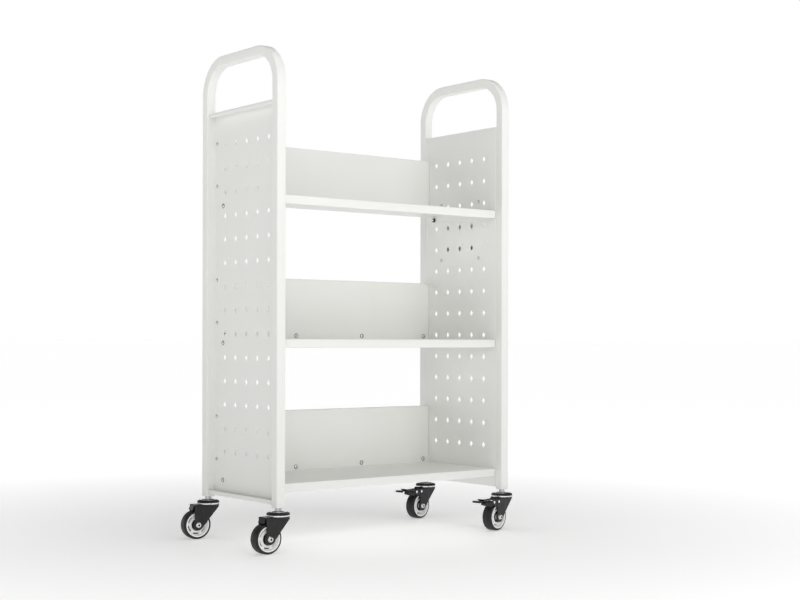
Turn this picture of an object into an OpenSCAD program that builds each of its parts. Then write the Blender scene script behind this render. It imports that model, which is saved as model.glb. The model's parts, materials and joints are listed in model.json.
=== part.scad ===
// Single-sided book cart: two bent-tube end frames with perforated side panels,
// three flat shelves with back plates, and four swivel casters (two with brakes).
// Units are millimetres. +X runs along the cart, +Y to its back, +Z up from the floor.

/* [End frames] */
// Width over the outsides of the two end frames
cart_w = 760; // [640:5:1000]
// Depth over the posts
cart_d = 358; // [330:2:450]
// Height from the floor to the top of the hand-holds
cart_h = 1250; // [1230:5:1400]
// Side of the square tube
tube = 25; // [24:0.5:28]
// Wall of the square tube
tube_wall = 1.5; // [1.2:0.1:2]
// Radius of the tube's long edges
tube_edge = 2.5; // [2:0.1:3]
// Outside radius of the bends at the hand-holds
bend_r = 96; // [70:1:130]
// Height of the posts' lower ends over the floor
post_z = 110; // [110:1:125]

/* [Side panels] */
// Thickness of the panel sheet
panel_t = 1.2; // [0.8:0.1:1.5]
// Height of the panel's lower edge
panel_z0 = 116; // [116:1:130]
// Height of the panel's upper edge
panel_z1 = 1109; // [1080:1:1130]
// Width of the flanges that lie along the posts
panel_side_flange = 14; // [10:1:18]
// Width of the upper and lower flanges
panel_end_flange = 20.5; // [16:0.5:23]
// Height of the return lips on the upper and lower flanges
panel_lip = 11.5; // [8:0.5:15]
// Width of one diamond-shaped hole
hole_w = 12; // [8:0.5:20]
// Height of one diamond-shaped hole
hole_h = 17; // [8:0.5:24]
// Holes in each row
hole_cols = 5; // [1:1:5]
// Rows of holes
hole_rows = 14; // [1:1:14]
// Spacing of the holes along the depth
hole_pitch_y = 51.8; // [40:0.2:55]
// Spacing of the rows
hole_pitch_z = 61.2; // [40:0.2:62]
// Height of the lowest row
hole_z0 = 229; // [200:1:235]

/* [Shelves] */
// Height of the lowest shelf's surface
shelf_z0 = 166; // [160:1:175]
// Spacing of the shelves
shelf_pitch = 356; // [330:1:358]
// Thickness of the shelf and back-plate sheet
shelf_t = 1.2; // [0.8:0.1:1.5]
// Depth of the front lip
lip_h = 22; // [20:1:30]
// Depth of the flanges at the shelf's two ends
end_flange_h = 17; // [17:1:20]
// Width of the turned-in edge under the front lip
lip_return = 8; // [5:1:14]
// Height of the upturned rear edge the back plate bolts to
rear_flange_h = 20; // [18:1:25]
// Drop of the shelf's surface under the foot of the back plate
plate_seat = 0.2; // [0.1:0.1:0.5]
// Height of a back plate over its shelf
plate_h = 163; // [120:1:200]
// Distance from the back of the posts to the face of a back plate
plate_inset = 42.5; // [40:0.5:60]
// Depth of the folded edges of a back plate
plate_fold = 14.5; // [13:0.5:15]
// Gap left at each end of a shelf
end_gap = 0.1; // [0.05:0.05:0.5]

/* [Side pocket] */
// Width of the pocket on the outside of the right panel
pocket_w = 146; // [120:2:180]
// Depth of the pocket
pocket_d = 39; // [25:1:50]
// Height of the pocket's bottom over the floor
pocket_z0 = 735; // [600:1:760]
// Height of the pocket's front wall
pocket_h = 150; // [120:1:180]
// Height of the pocket's back flanges
pocket_back_h = 187; // [185:1:220]

/* [Casters] */
// Radius of the wheel over its tyre
wheel_r = 37.5; // [36:0.5:38]
// Width of the tyre
wheel_w = 30; // [24:1:30]
// Thickness of the tyre
tyre_t = 6; // [6:0.5:7]
// Radius of the tyre's shoulders
shoulder_r = 5.5; // [3:0.5:5.5]
// Distance the axle trails behind the stem
trail = 35; // [32:1:38]
// Radius of the swivel head
head_r = 29; // [28:0.5:31]
// Thickness of the fork's sheet
fork_t = 2.5; // [2:0.1:3]
// Distance from the caster's middle to the inside of a fork leg
fork_in = 17; // [16.5:0.5:19]
// Radius of the axle bolt
axle_r = 4; // [3.5:0.25:4]
// Radius of the stem
stem_r = 5; // [4.5:0.25:5.5]
// Width across the flats of the stem's hexagon
stem_hex = 15; // [12:0.5:16]
// Radial clearance of the running fits
run = 0.05; // [0.02:0.01:0.1]
// Turn of the front left caster at rest
turn_fl = 0; // [-20:1:20]
// Turn of the front right caster at rest
turn_fr = 12; // [-20:1:20]
// Turn of the back left caster at rest
turn_bl = -8; // [-20:1:20]
// Turn of the back right caster at rest
turn_br = 10; // [-20:1:20]

/* [Hidden] */
half_w = cart_w/2;
half_d = cart_d/2;
post_in = half_d - tube;               // inner face of a post, across the depth
panel_x = half_w - tube;               // inner face of a side panel
shelf_x = panel_x - end_gap;           // end of a shelf
front_y = -post_in;                    // face of a shelf's front lip
plate_y = half_d - plate_inset;        // face of a back plate
bolt_x = [-334, -111, 111, 334];       // bolts along a back plate
bolt_dz = 9;                           // their height over the shelf
tray_bolt_y = [front_y + 22, plate_y - 24];
tray_bolt_dz = -10.5;
end_screw_y = plate_y + 7;
end_screw_dz = [43, 154];
pocket_screw_y = pocket_w/2 + 8;
pocket_screw_z = [pocket_z0 + 15, pocket_z0 + 173];
stem_x = half_w - tube/2;
stem_y = half_d - tube/2;
axle_z = wheel_r;
rim_r = wheel_r - tyre_t;
plate_top = 90;                        // top of the fork's head plate
plate_low = plate_top - 3;
race_top = plate_top + 3.7;            // top of the bright race ring
cover_low = race_top + 0.3;            // underside of the dust cover
cover_top = cover_low + 7;             // top of the bright ring in the cover
dish_z = cover_low + 4;                // floor of the dish inside that ring
dish_r = 20.5;
pin_x = -41;                           // brake pivot
pin_z = 80;
pin_holes = [pin_x, pin_x - 21];
// The casters trail to -X, so the cart is moved until its bounding box is centred.
origin_x = (trail + wheel_r - head_r - 0.3)/2;

ivory = [0.93, 0.93, 0.90];
black = [0.10, 0.10, 0.11];
zinc = [0.78, 0.79, 0.80];
white = [0.92, 0.92, 0.91];
rubber = [0.06, 0.06, 0.06];

$fn = 48;

// ---------- shared shapes ----------

module place() translate([origin_x, 0, 0]) children();

// Puts a left-hand part on the chosen side: -1 is left, 1 is right.
module side(s) { if (s < 0) children(); else mirror([1, 0, 0]) children(); }

// Box from its two corners.
module box(a, b) translate(a) cube(b - a);

// Square with rounded corners, centred.
module soft_square(w, r) {
  square([w, w - 2*r], center = true);
  square([w - 2*r, w], center = true);
  for (x = [-1, 1], y = [-1, 1]) translate([x*(w/2 - r), y*(w/2 - r)]) circle(r = r);
}

// Cross-section of the square tube.
module tube_section() difference() {
  soft_square(tube, tube_edge);
  soft_square(tube - 2*tube_wall, tube_edge - tube_wall);
}

// Hexagon by its width across the flats.
module hex(af, h) cylinder(d = af/cos(30), h = h, $fn = 6);

// Cylinder along X or Y, from its start face.
module rod_x(r, h) rotate([0, 90, 0]) cylinder(r = r, h = h);
module rod_y(r, h) rotate([-90, 0, 0]) cylinder(r = r, h = h);

// Low round screw head, its flat side at z = 0.
module button_head(r, h) rotate_extrude() polygon([
  [0, 0], [r, 0], [r, h*0.35], [r*0.86, h*0.75], [r*0.6, h],
  [r*0.42, h], [r*0.42, h*0.45], [0, h*0.45]]);

// ---------- end frames and panels ----------

module end_frame(s) color(ivory) place() side(s) translate([-stem_x, 0, 0]) {
  for (y = [-1, 1]) {
    translate([0, y*stem_y, post_z])
      linear_extrude(cart_h - bend_r - post_z) tube_section();
    translate([0, y*(half_d - bend_r), cart_h - bend_r]) rotate([0, 0, y*90])
      rotate([90, 0, 0]) rotate_extrude(angle = 90)
        translate([bend_r - tube/2, 0]) tube_section();
  }
  translate([0, half_d - bend_r, cart_h - tube/2]) rotate([90, 0, 0])
    linear_extrude(cart_d - 2*bend_r) tube_section();
}

module panel_holes() for (i = [0:hole_cols - 1], j = [0:hole_rows - 1])
  translate([0, (i - (hole_cols - 1)/2)*hole_pitch_y, hole_z0 + j*hole_pitch_z])
    rotate([90, 0, 90]) linear_extrude(4*panel_t, center = true)
      polygon([[-hole_w/2, 0], [0, -hole_h/2], [hole_w/2, 0], [0, hole_h/2]]);

// A folded panel: its face is flush with the inside of the frame, its flanges point out.
module side_panel(s) color(ivory) place() side(s) difference() {
  union() {
    box([-panel_x - panel_t, -post_in, panel_z0], [-panel_x, post_in, panel_z1]);
    for (y = [-1, 1]) mirror([0, y < 0 ? 1 : 0, 0])
      box([-panel_x - panel_side_flange, post_in - panel_t, panel_z0],
          [-panel_x, post_in, panel_z1]);
    for (z = [panel_z0, panel_z1 - panel_t])
      box([-panel_x - panel_end_flange, -post_in, z], [-panel_x, post_in, z + panel_t]);
    for (z = [panel_z0, panel_z1 - panel_lip])
      box([-panel_x - panel_end_flange, -post_in, z],
          [-panel_x - panel_end_flange + panel_t, post_in, z + panel_lip]);
  }
  translate([-panel_x - panel_t/2, 0, 0]) panel_holes();
  for (k = [0:2]) {
    for (y = tray_bolt_y) translate([-panel_x - 2, y, shelf_z0 + k*shelf_pitch + tray_bolt_dz])
      rod_x(3.2, 3);
    for (dz = end_screw_dz) translate([-panel_x - 2, end_screw_y, shelf_z0 + k*shelf_pitch + dz])
      rod_x(2.1, 3);
  }
  if (s > 0) for (y = [-1, 1], z = pocket_screw_z)
    translate([-panel_x - 2, y*pocket_screw_y, z]) rod_x(2.1, 3);
}

// ---------- shelves ----------

module shelf_tray(k) color(ivory) place() translate([0, 0, shelf_z0 + k*shelf_pitch])
  difference() {
    union() {
      box([-shelf_x, front_y, -shelf_t], [shelf_x, plate_y - plate_seat, 0]);
      box([-shelf_x, plate_y - 1, -shelf_t], [shelf_x, plate_y + 2*shelf_t, -plate_seat]);
      box([-shelf_x, front_y, -lip_h], [shelf_x, front_y + shelf_t, 0]);
      box([-shelf_x, front_y, -lip_h], [shelf_x, front_y + lip_return, -lip_h + shelf_t]);
      for (s = [-1, 1]) side(s)
        box([-shelf_x, front_y, -end_flange_h],
            [-shelf_x + shelf_t, plate_y + 2*shelf_t, -plate_seat]);
      box([-shelf_x + 2*shelf_t, plate_y + shelf_t, -shelf_t],
          [shelf_x - 2*shelf_t, plate_y + 2*shelf_t, rear_flange_h]);
    }
    for (x = bolt_x) translate([x, plate_y, bolt_dz]) rod_y(3.1, 4);
    for (s = [-1, 1], y = tray_bolt_y) side(s) translate([-shelf_x - 1, y, tray_bolt_dz])
      rod_x(3.1, 4);
  }

module back_plate(k) color(ivory) place() translate([0, 0, shelf_z0 + k*shelf_pitch])
  difference() {
    union() {
      box([-shelf_x, plate_y, -plate_seat], [shelf_x, plate_y + shelf_t, plate_h]);
      box([-shelf_x, plate_y, plate_h - shelf_t], [shelf_x, plate_y + plate_fold, plate_h]);
      for (s = [-1, 1]) side(s)
        box([-shelf_x, plate_y, rear_flange_h + 3],
            [-shelf_x + shelf_t, plate_y + plate_fold, plate_h]);
    }
    for (x = bolt_x) translate([x, plate_y - 1, bolt_dz]) rod_y(3.1, 4);
    for (s = [-1, 1], dz = end_screw_dz) side(s) translate([-shelf_x - 1, end_screw_y, dz])
      rod_x(2, 4);
  }

// ---------- fasteners ----------

module at_tray_bolts() for (s = [-1, 1], k = [0:2], y = tray_bolt_y)
  side(s) translate([-panel_x - panel_t, y, shelf_z0 + k*shelf_pitch + tray_bolt_dz]) children();

module tray_bolts() color(zinc) place() at_tray_bolts() {
  rotate([0, -90, 0]) button_head(5.8, 3.2);
  rod_x(3, panel_t + end_gap + shelf_t + 8);
}

module tray_nuts() color(black) place() at_tray_bolts()
  translate([panel_t + end_gap + shelf_t, 0, 0]) rotate([0, 90, 0]) difference() {
    union() { cylinder(r = 6, h = 1.2); hex(10, 6); }
    translate([0, 0, -1]) cylinder(r = 3.05, h = 8);
  }

module at_plate_bolts() for (k = [0:2], x = bolt_x)
  translate([x, plate_y, shelf_z0 + k*shelf_pitch + bolt_dz]) children();

module plate_bolts() color(zinc) place() at_plate_bolts() {
  rotate([90, 0, 0]) button_head(6.2, 2.8);
  rod_y(3, 2*shelf_t + 7);
}

module plate_nuts() color(zinc) place() at_plate_bolts()
  translate([0, 2*shelf_t, 0]) rotate([-90, 0, 0]) difference() {
    union() { cylinder(r = 6, h = 1.2); hex(10, 5.5); }
    translate([0, 0, -1]) cylinder(r = 3.05, h = 8);
  }

module plate_end_screws() color(zinc) place()
  for (s = [-1, 1], k = [0:2], dz = end_screw_dz)
    side(s) translate([-panel_x - panel_t, end_screw_y, shelf_z0 + k*shelf_pitch + dz]) {
      rotate([0, -90, 0]) button_head(4.2, 2.4);
      rod_x(1.95, 10);
    }

// ---------- side pocket ----------

// Open-topped pocket on the outside of the right panel, open at the back as well.
module side_pocket() color(ivory) place() difference() {
  union() {
    for (y = [-1, 1]) mirror([0, y < 0 ? 1 : 0, 0]) {
      box([panel_x + panel_t, pocket_w/2 - 1, pocket_z0],
          [panel_x + panel_t + 1, pocket_w/2 + 16, pocket_z0 + pocket_back_h]);
      translate([panel_x + panel_t, pocket_w/2, pocket_z0]) rotate([90, 0, 0])
        linear_extrude(1) polygon([[0, 0], [pocket_d, 0], [pocket_d, pocket_h - 12],
                                   [pocket_d - 6, pocket_h], [0, pocket_back_h]]);
    }
    box([panel_x + panel_t + pocket_d - 1, -pocket_w/2, pocket_z0],
        [panel_x + panel_t + pocket_d, pocket_w/2, pocket_z0 + pocket_h - 12]);
    box([panel_x + panel_t, -pocket_w/2, pocket_z0],
        [panel_x + panel_t + pocket_d, pocket_w/2, pocket_z0 + 1]);
  }
  for (y = [-1, 1], z = pocket_screw_z)
    translate([panel_x, y*pocket_screw_y, z]) rod_x(2.1, 4);
}

module at_pocket_screws() for (y = [-1, 1], z = pocket_screw_z)
  translate([panel_x, y*pocket_screw_y, z]) children();

module pocket_screws() color(zinc) place() at_pocket_screws() {
  rotate([0, -90, 0]) button_head(4.2, 2.4);
  rod_x(2, 8);
}

module pocket_nuts() color(zinc) place() at_pocket_screws()
  translate([panel_t + 1, 0, 0]) rotate([0, 90, 0]) difference() {
    hex(7, 3.2);
    translate([0, 0, -1]) cylinder(r = 2.05, h = 6);
  }

// ---------- casters ----------

// Puts a caster under its post: cx and cy are -1 or 1.
module at_stem(cx, cy) place() translate([cx*stem_x, cy*stem_y, 0]) children();
module turned(cx, cy, a) at_stem(cx, cy) rotate([0, 0, a]) children();
module at_axle(cx, cy, a) turned(cx, cy, a) translate([-trail, 0, axle_z]) children();

// Threaded plugs pressed into the lower ends of the posts.
module stem_sockets() color(zinc) for (cx = [-1, 1], cy = [-1, 1]) at_stem(cx, cy)
  difference() {
    translate([0, 0, post_z + 1]) linear_extrude(25)
      soft_square(tube - 2*tube_wall - 0.1, tube_edge - tube_wall);
    translate([0, 0, post_z]) cylinder(r = stem_r + 0.05, h = 30);
  }

// Stem with a riveted foot, a dished flange on the cover and a hexagon under the post.
module stem(cx, cy) color(zinc) at_stem(cx, cy) {
  rotate_extrude() polygon([
    [0, plate_low - 3.4], [6.5, plate_low - 3.4], [8, plate_low - 2], [8, plate_low - 0.3],
    [stem_r, plate_low - 0.3], [stem_r, dish_z], [dish_r, dish_z], [dish_r, cover_top],
    [dish_r - 1.8, cover_top], [dish_r - 3, dish_z + 1.2], [stem_r, dish_z + 1.2],
    [stem_r, post_z + 25], [stem_r - 1, post_z + 26], [0, post_z + 26]]);
  translate([0, 0, dish_z + 1]) hex(stem_hex, post_z - dish_z);
}

module cover(cx, cy) color(black) at_stem(cx, cy) rotate_extrude() polygon([
  [stem_r + 0.1, cover_low], [head_r, cover_low], [head_r, cover_low + 3.2],
  [head_r - 1.2, cover_low + 4.4], [dish_r + 1.6, cover_top - 0.6], [dish_r + 0.1, cover_top - 0.6],
  [dish_r + 0.1, dish_z], [stem_r + 0.1, dish_z]]);

// Bright lower race, turning with the fork.
module race(cx, cy, a) color(zinc) turned(cx, cy, a) difference() {
  translate([0, 0, plate_top]) cylinder(r = head_r + 0.3, h = race_top - plate_top, $fn = 72);
  cylinder(r = stem_r + run, h = 200);
}

// Where a straight edge from point p touches the circle (c, r), on its left (1) or right (-1).
function touch(p, c, r, s) = let (v = p - c, d = norm(v), a = atan2(v[1], v[0]), b = acos(r/d))
  c + r*[cos(a + s*b), sin(a + s*b)];

boss_r = 13.5;
axle_c = [-trail, axle_z];
leg_front = [22.5, plate_top - 7];
leg_back = [-44.5, 52];
ear_top = 85.5;

// Side view of a fork leg; brake forks step down behind the head and carry an ear for the pedal.
module leg_outline(brake) {
  polygon(concat([leg_front, [22.5, plate_top]],
                 brake ? [[-27, plate_top], [-30, ear_top], [-44.5, ear_top]] : [[-44.5, plate_top]],
                 [leg_back, touch(leg_back, axle_c, boss_r - 0.2, 1), axle_c,
                  touch(leg_front, axle_c, boss_r - 0.2, -1)]));
  translate(axle_c) circle(r = boss_r);
  if (brake) polygon([[-44, ear_top], [-68, ear_top - 0.6], [-72, 79], [-67.5, 73.5], [-44, 64]]);
}

// Side view of the skirt behind a plain fork's head, flared away from the tyre.
skirt = [[-40, plate_top], [-44, plate_top], [-45.5, plate_top - 1.5], [-50, plate_top - 14],
         [-47.6, plate_top - 14.8], [-43.5, plate_low], [-40, plate_low]];
skirt_w = 26;

module fork(cx, cy, a, brake) color(black) turned(cx, cy, a) difference() {
  union() {
    for (y = [-1, 1]) mirror([0, y < 0 ? 1 : 0, 0]) translate([0, fork_in + fork_t, 0])
      rotate([90, 0, 0]) linear_extrude(fork_t) leg_outline(brake);
    translate([0, 0, plate_low]) cylinder(r = head_r, h = plate_top - plate_low, $fn = 72);
    box([brake ? -26 : -44.5, -fork_in - fork_t, plate_low], [0, fork_in + fork_t, plate_top]);
    if (!brake) translate([0, skirt_w/2, 0]) rotate([90, 0, 0])
      linear_extrude(skirt_w) polygon(skirt);
  }
  translate([0, 0, plate_low - 1]) cylinder(r = stem_r + run, h = 10);
  translate([-trail, -30, axle_z]) rod_y(axle_r + 0.05, 60);
  if (brake) for (x = pin_holes) translate([x, -30, pin_z]) rod_y(2.55, 60);
}

module axle(cx, cy, a) color(zinc) at_axle(cx, cy, a) {
  translate([0, -fork_in - fork_t, 0]) rotate([90, 0, 0]) difference() {
    union() { cylinder(r = 7.2, h = 1.4); cylinder(r = 6.4, h = 4.6); }
    translate([0, 0, 2.4]) hex(6, 4);
  }
  translate([0, -fork_in - fork_t, 0]) rod_y(axle_r, 2*(fork_in + fork_t) + 6.5);
}

module axle_nut(cx, cy, a) color(zinc) at_axle(cx, cy, a)
  translate([0, fork_in + fork_t, 0]) rotate([-90, 0, 0]) difference() {
    union() { cylinder(r = 7.2, h = 1.4); hex(12, 5.6); }
    translate([0, 0, -1]) cylinder(r = axle_r + 0.05, h = 10);
  }

// Half-section of the hub: rim, slotted web, raised ring and centre boss.
module hub(cx, cy, a) color(white) at_axle(cx, cy, a) rotate([90, 0, 0]) difference() {
  rotate_extrude($fn = 72) polygon([
    [axle_r + run, -fork_in + 0.4], [8.5, -fork_in + 0.4], [8.5, -8], [15, -8],
    [16, -11], [19, -11], [20, -7], [26, -7], [28, -wheel_w/2 + 0.6], [rim_r, -wheel_w/2 + 0.6],
    [rim_r, wheel_w/2 - 0.6], [28, wheel_w/2 - 0.6], [26, 7], [20, 7], [19, 11], [16, 11],
    [15, 8], [8.5, 8], [8.5, fork_in - 0.4], [axle_r + run, fork_in - 0.4]]);
  for (k = [0:5]) rotate([0, 0, k*60 + 5]) translate([0, 0, -9])
    rotate_extrude(angle = 38) translate([21.3, 0]) square([3.4, 18]);
}

module tyre(cx, cy, a) color(rubber) at_axle(cx, cy, a) rotate([90, 0, 0])
  rotate_extrude($fn = 96) {
    translate([rim_r, -wheel_w/2]) square([tyre_t - shoulder_r, wheel_w]);
    translate([rim_r, -wheel_w/2 + shoulder_r]) square([tyre_t, wheel_w - 2*shoulder_r]);
    for (y = [-1, 1]) translate([rim_r, y*(wheel_w/2 - shoulder_r)]) intersection() {
      translate([tyre_t - shoulder_r, 0]) circle(r = shoulder_r, $fn = 48);
      translate([0, -shoulder_r]) square(2*shoulder_r);
    }
  }

// ---------- brakes on the two right-hand casters ----------

// The pedal's pivot pin across the fork ears, and a short rivet in each ear behind it.
module brake_pin(cx, cy, a) color(zinc) turned(cx, cy, a) {
  translate([pin_x, -fork_in - fork_t, pin_z]) rod_y(2.5, 2*(fork_in + fork_t));
  for (y = [-1, 1]) mirror([0, y < 0 ? 1 : 0, 0]) for (x = pin_holes)
    translate([x, fork_in, pin_z]) {
      translate([0, fork_t, 0]) rod_y(3.4, 1.4);
      rod_y(2.5, fork_t);
    }
}

pedal_y = fork_in - 0.6;

// Long foot pedal: two arms on the pivot, a flat blade and a brake shoe over the tyre.
module brake_pedal(cx, cy, a) color(black) turned(cx, cy, a) difference() {
  union() {
    for (y = [-1, 1]) mirror([0, y < 0 ? 1 : 0, 0]) translate([0, pedal_y, 0])
      rotate([90, 0, 0]) linear_extrude(2.2)
        polygon([[pin_x + 4.5, pin_z - 3], [pin_x + 4.5, pin_z + 2.4], [-48, 83], [-66, 83.5],
                 [-72, 83.5], [-72, 81], [-66.2, 75], [-64, 73.6], [pin_x, 76.4]]);
    translate([0, 13, 0]) rotate([90, 0, 0]) linear_extrude(26)
      polygon([[-66, 83.5], [-72, 83.5], [-113, 86.2], [-116.5, 86.2], [-118, 84.5],
               [-117.6, 81.8], [-115.6, 80.8], [-113.6, 82.4], [-92, 81.4], [-84, 71],
               [-79, 73], [-82, 81], [-71, 80.6], [-66, 80.6]]);
    translate([0, pedal_y, 0]) rotate([90, 0, 0]) linear_extrude(2*pedal_y)
      polygon([[-66, 83.5], [-72, 83.5], [-72, 80.6], [-68.5, 80.6], [-66.4, 67.9],
               [-63.8, 67.3], [-64.4, 80.6]]);
  }
  translate([pin_x, -30, pin_z]) rod_y(2.5 + run, 60);
}

// Shorter release plate riveted on top of the pedal.
module brake_release(cx, cy, a) color(black) turned(cx, cy, a) {
  translate([0, 11, 0]) rotate([90, 0, 0]) linear_extrude(22)
    polygon([[-68, 83.6], [-72, 83.6], [-92, 84.9], [-97, 88.4], [-99, 88.7], [-98.4, 90.1],
             [-95.5, 89.8], [-91, 87.1], [-72, 85.7], [-68, 85.7]]);
}

// ---------- nodes ----------

module end_frame_left() end_frame(-1);
module end_frame_right() end_frame(1);
module side_panel_left() side_panel(-1);
module side_panel_right() side_panel(1);
module shelf_tray_bottom() shelf_tray(0);
module shelf_tray_middle() shelf_tray(1);
module shelf_tray_top() shelf_tray(2);
module back_plate_bottom() back_plate(0);
module back_plate_middle() back_plate(1);
module back_plate_top() back_plate(2);
module stem_fl() stem(-1, -1);
module cover_fl() cover(-1, -1);
module race_fl() race(-1, -1, turn_fl);
module fork_fl() fork(-1, -1, turn_fl, false);
module axle_fl() axle(-1, -1, turn_fl);
module axle_nut_fl() axle_nut(-1, -1, turn_fl);
module hub_fl() hub(-1, -1, turn_fl);
module tyre_fl() tyre(-1, -1, turn_fl);
module stem_fr() stem(1, -1);
module cover_fr() cover(1, -1);
module race_fr() race(1, -1, turn_fr);
module fork_fr() fork(1, -1, turn_fr, true);
module axle_fr() axle(1, -1, turn_fr);
module axle_nut_fr() axle_nut(1, -1, turn_fr);
module hub_fr() hub(1, -1, turn_fr);
module tyre_fr() tyre(1, -1, turn_fr);
module stem_bl() stem(-1, 1);
module cover_bl() cover(-1, 1);
module race_bl() race(-1, 1, turn_bl);
module fork_bl() fork(-1, 1, turn_bl, false);
module axle_bl() axle(-1, 1, turn_bl);
module axle_nut_bl() axle_nut(-1, 1, turn_bl);
module hub_bl() hub(-1, 1, turn_bl);
module tyre_bl() tyre(-1, 1, turn_bl);
module stem_br() stem(1, 1);
module cover_br() cover(1, 1);
module race_br() race(1, 1, turn_br);
module fork_br() fork(1, 1, turn_br, true);
module axle_br() axle(1, 1, turn_br);
module axle_nut_br() axle_nut(1, 1, turn_br);
module hub_br() hub(1, 1, turn_br);
module tyre_br() tyre(1, 1, turn_br);
module brake_pin_fr() brake_pin(1, -1, turn_fr);
module brake_pedal_fr() brake_pedal(1, -1, turn_fr);
module brake_release_fr() brake_release(1, -1, turn_fr);
module brake_pin_br() brake_pin(1, 1, turn_br);
module brake_pedal_br() brake_pedal(1, 1, turn_br);
module brake_release_br() brake_release(1, 1, turn_br);

end_frame_left();
end_frame_right();
side_panel_left();
side_panel_right();
shelf_tray_bottom();
shelf_tray_middle();
shelf_tray_top();
back_plate_bottom();
back_plate_middle();
back_plate_top();
tray_bolts();
tray_nuts();
plate_bolts();
plate_nuts();
plate_end_screws();
side_pocket();
pocket_screws();
pocket_nuts();
stem_sockets();
stem_fl();
cover_fl();
race_fl();
fork_fl();
axle_fl();
axle_nut_fl();
hub_fl();
tyre_fl();
stem_fr();
cover_fr();
race_fr();
fork_fr();
axle_fr();
axle_nut_fr();
hub_fr();
tyre_fr();
stem_bl();
cover_bl();
race_bl();
fork_bl();
axle_bl();
axle_nut_bl();
hub_bl();
tyre_bl();
stem_br();
cover_br();
race_br();
fork_br();
axle_br();
axle_nut_br();
hub_br();
tyre_br();
brake_pin_fr();
brake_pedal_fr();
brake_release_fr();
brake_pin_br();
brake_pedal_br();
brake_release_br();
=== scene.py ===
"""Looks for the single-sided book cart: finishes, folded and pressed sheet, and a pale studio."""
import json
import math

import bmesh
import bpy
from mathutils import Matrix, Vector


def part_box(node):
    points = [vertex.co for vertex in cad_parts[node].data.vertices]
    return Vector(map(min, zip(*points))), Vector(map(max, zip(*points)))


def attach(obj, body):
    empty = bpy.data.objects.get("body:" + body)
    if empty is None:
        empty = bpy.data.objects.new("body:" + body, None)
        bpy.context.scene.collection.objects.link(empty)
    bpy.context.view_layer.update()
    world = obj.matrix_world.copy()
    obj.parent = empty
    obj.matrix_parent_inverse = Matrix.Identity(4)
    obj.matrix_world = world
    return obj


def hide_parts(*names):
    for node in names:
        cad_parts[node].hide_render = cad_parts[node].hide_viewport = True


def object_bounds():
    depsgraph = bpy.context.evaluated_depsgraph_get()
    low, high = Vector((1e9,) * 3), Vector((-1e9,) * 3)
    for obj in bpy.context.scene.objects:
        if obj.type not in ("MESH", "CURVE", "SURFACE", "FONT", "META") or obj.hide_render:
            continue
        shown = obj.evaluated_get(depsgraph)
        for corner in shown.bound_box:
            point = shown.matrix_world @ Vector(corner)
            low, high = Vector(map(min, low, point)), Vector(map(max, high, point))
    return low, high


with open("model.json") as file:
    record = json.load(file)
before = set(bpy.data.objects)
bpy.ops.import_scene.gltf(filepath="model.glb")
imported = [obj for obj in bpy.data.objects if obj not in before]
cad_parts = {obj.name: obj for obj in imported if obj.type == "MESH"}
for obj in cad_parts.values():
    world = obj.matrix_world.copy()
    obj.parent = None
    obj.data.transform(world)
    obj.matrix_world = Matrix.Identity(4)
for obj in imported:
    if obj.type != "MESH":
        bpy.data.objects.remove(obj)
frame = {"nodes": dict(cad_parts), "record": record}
cad_low, cad_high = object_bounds()

MM = 0.001
SAME = Matrix.Identity(4)
nodes = frame["nodes"]
record = frame["record"]
scene = bpy.context.scene


# ---------- camera, light and floor, in metres, degrees and watts ----------

EYE = (-2.274, -3.102, 0.5216)   # where the camera stands
EYE_TURN = 38.14                 # from +Y towards +X
EYE_ROLL = 0.13
LENS = 64.51                     # millimetres of focal length
FILM_WIDTH = 36                  # millimetres
FARTHEST = 1000                  # the camera sees this far
HORIZON_SHIFT = 0.0493           # the level camera's frame is raised by this share of its width
SKY_FADE = (0.235, 0.3)          # sines of the heights between which the sky fades from white
SKY_HIGH = 0.12                  # the sky's strength above them
LIGHTS = (("key", (-2.7, -3.5, 2.1), (2.6, 2.0), 22),
          ("front", (0.4, -4.2, 2.2), (2.6, 2.2), 33),
          ("top", (0, -0.6, 3.4), (2.4, 2.4), 22))   # name, place, size, power
FLOOR_R = 400
FLOOR_GREY = (0.85, 0.85, 0.85, 1)
FLOOR_GLOW_AND_PAINTED_SHADOW = (0.38, 0.80)        # how brightly the floor glows near the cart, and far from it; the weaker glow near the cart is a painted shadow
PAINTED_SHADOW_FADE = (0.5, 2.2)           # the distances from the origin between which that changes, over which the painted shadow fades out


def map_range(tree, value, source, target, way="LINEAR"):
    """Maps a socket's value from one range to another, and returns the new value's socket."""
    made = tree.nodes.new("ShaderNodeMapRange")
    made.interpolation_type = way
    for key, number in zip(("From Min", "From Max", "To Min", "To Max"), (*source, *target)):
        made.inputs[key].default_value = number
    tree.links.new(value, made.inputs["Value"])
    return made.outputs["Result"]


def camera():
    cam = bpy.data.objects.new("camera", bpy.data.cameras.new("camera"))
    scene.collection.objects.link(cam)
    turn, roll = math.radians(EYE_TURN), math.radians(EYE_ROLL)
    ahead = Vector((math.sin(turn), math.cos(turn), 0))
    level = Vector((math.cos(turn), -math.sin(turn), 0))
    right = level*math.cos(roll) + Vector((0, 0, math.sin(roll)))
    up = Vector((0, 0, math.cos(roll))) - level*math.sin(roll)
    cam.matrix_world = Matrix.Translation(EYE) @ Matrix((right, up, -ahead)).transposed().to_4x4()
    cam.data.lens = LENS
    cam.data.sensor_width = FILM_WIDTH
    cam.data.shift_y = HORIZON_SHIFT
    cam.data.clip_end = FARTHEST
    scene.camera = cam


def area_light(name, place, target, size, power):
    light = bpy.data.lights.new(name, "AREA")
    light.shape = "RECTANGLE"
    light.size, light.size_y = size
    light.energy = power
    holder = bpy.data.objects.new(name, light)
    scene.collection.objects.link(holder)
    holder.location = place
    holder.visible_camera = False
    holder.rotation_euler = (Vector(target) - Vector(place)).to_track_quat("-Z", "Y").to_euler()


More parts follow.
